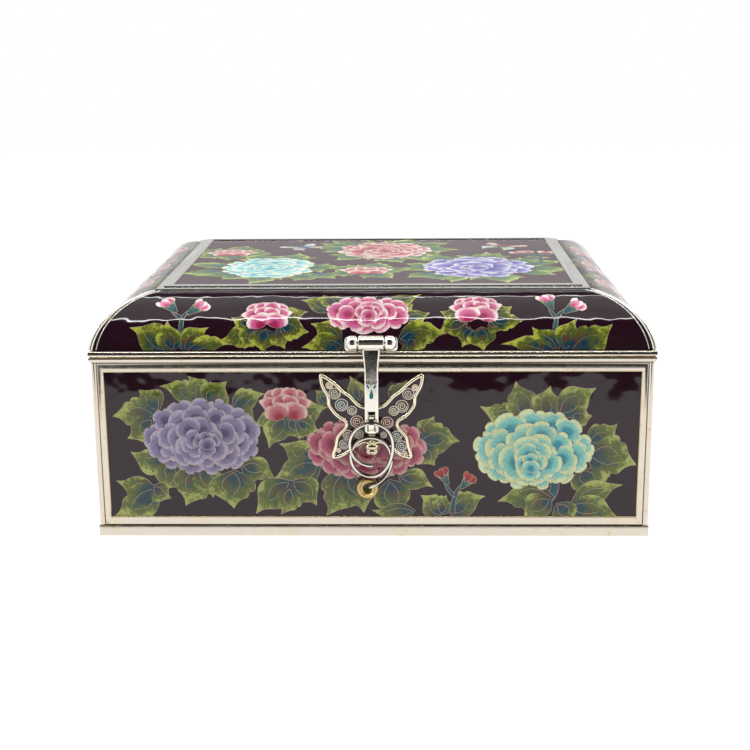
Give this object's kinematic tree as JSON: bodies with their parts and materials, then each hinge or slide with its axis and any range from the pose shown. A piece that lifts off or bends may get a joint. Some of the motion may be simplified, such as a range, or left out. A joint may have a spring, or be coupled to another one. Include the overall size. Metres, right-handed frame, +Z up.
{
  "type": "cloisonne enamel box",
  "caption": "Rectangular silver-mounted enamel box with a curved, hinged lid, a hinged hasp, a butterfly lock plate and a hanging wire ring.",
  "frame": {"origin": "middle of the flat underside", "axes": "+X to the right along the front, +Y towards the back where the lid's hinges are, +Z up"},
  "size_m": [0.2024, 0.1731, 0.0887],
  "materials": {
    "silver": "polished silver, slightly tarnished in the corners",
    "inner_silver": "satin silver sheet",
    "enamel": "glossy dark aubergine enamel with flowers",
    "wing_enamel": "glossy dark enamel with small pale discs",
    "gold": "gilt, worn"
  },
  "bodies": {
    "base": {"inner_box": "inner_silver", "bottom_plate": "inner_silver", "foot_band": "silver", "body_rim": "silver", "corner_post_front_left": "silver", "corner_post_front_right": "silver", "corner_post_back_left": "silver", "corner_post_back_right": "silver", "front_frame": "silver", "right_frame": "silver", "back_frame": "silver", "left_frame": "silver", "front_enamel": "enamel", "right_enamel": "enamel", "back_enamel": "enamel", "left_enamel": "enamel", "butterfly_plate": "silver", "wing_enamel_left": "wing_enamel", "wing_enamel_right": "wing_enamel", "body_hinge_left": "silver", "body_hinge_right": "silver", "hinge_pin_left": "silver", "hinge_pin_right": "silver"},
    "lid": {"lid_shell": "inner_silver", "lid_flange": "silver", "front_cove_enamel": "enamel", "right_cove_enamel": "enamel", "back_cove_enamel": "enamel", "left_cove_enamel": "enamel", "corner_wire_front_left": "silver", "corner_wire_front_right": "silver", "corner_wire_back_left": "silver", "corner_wire_back_right": "silver", "top_frame": "silver", "top_enamel": "enamel", "lid_hinge_left": "silver", "lid_hinge_right": "silver", "hasp_lug_left": "silver", "hasp_lug_right": "silver", "hasp_pin": "silver"},
    "hasp": {"hasp": "silver", "ring_eye": "silver", "spiral_ring": "silver", "gold_ring": "gold"}
  },
  "joints": [
    {"name": "lid_hinge", "type": "hinge", "parent": "base", "child": "lid", "pos_m": [0, 0.084, 0.0666], "axis": [-1, 0, 0], "range_deg": [0, 100]},
    {"name": "hasp_hinge", "type": "hinge", "parent": "lid", "child": "hasp", "pos_m": [0, -0.0837, 0.0729], "axis": [-1, 0, 0], "range_deg": [0, 180]}
  ]
}
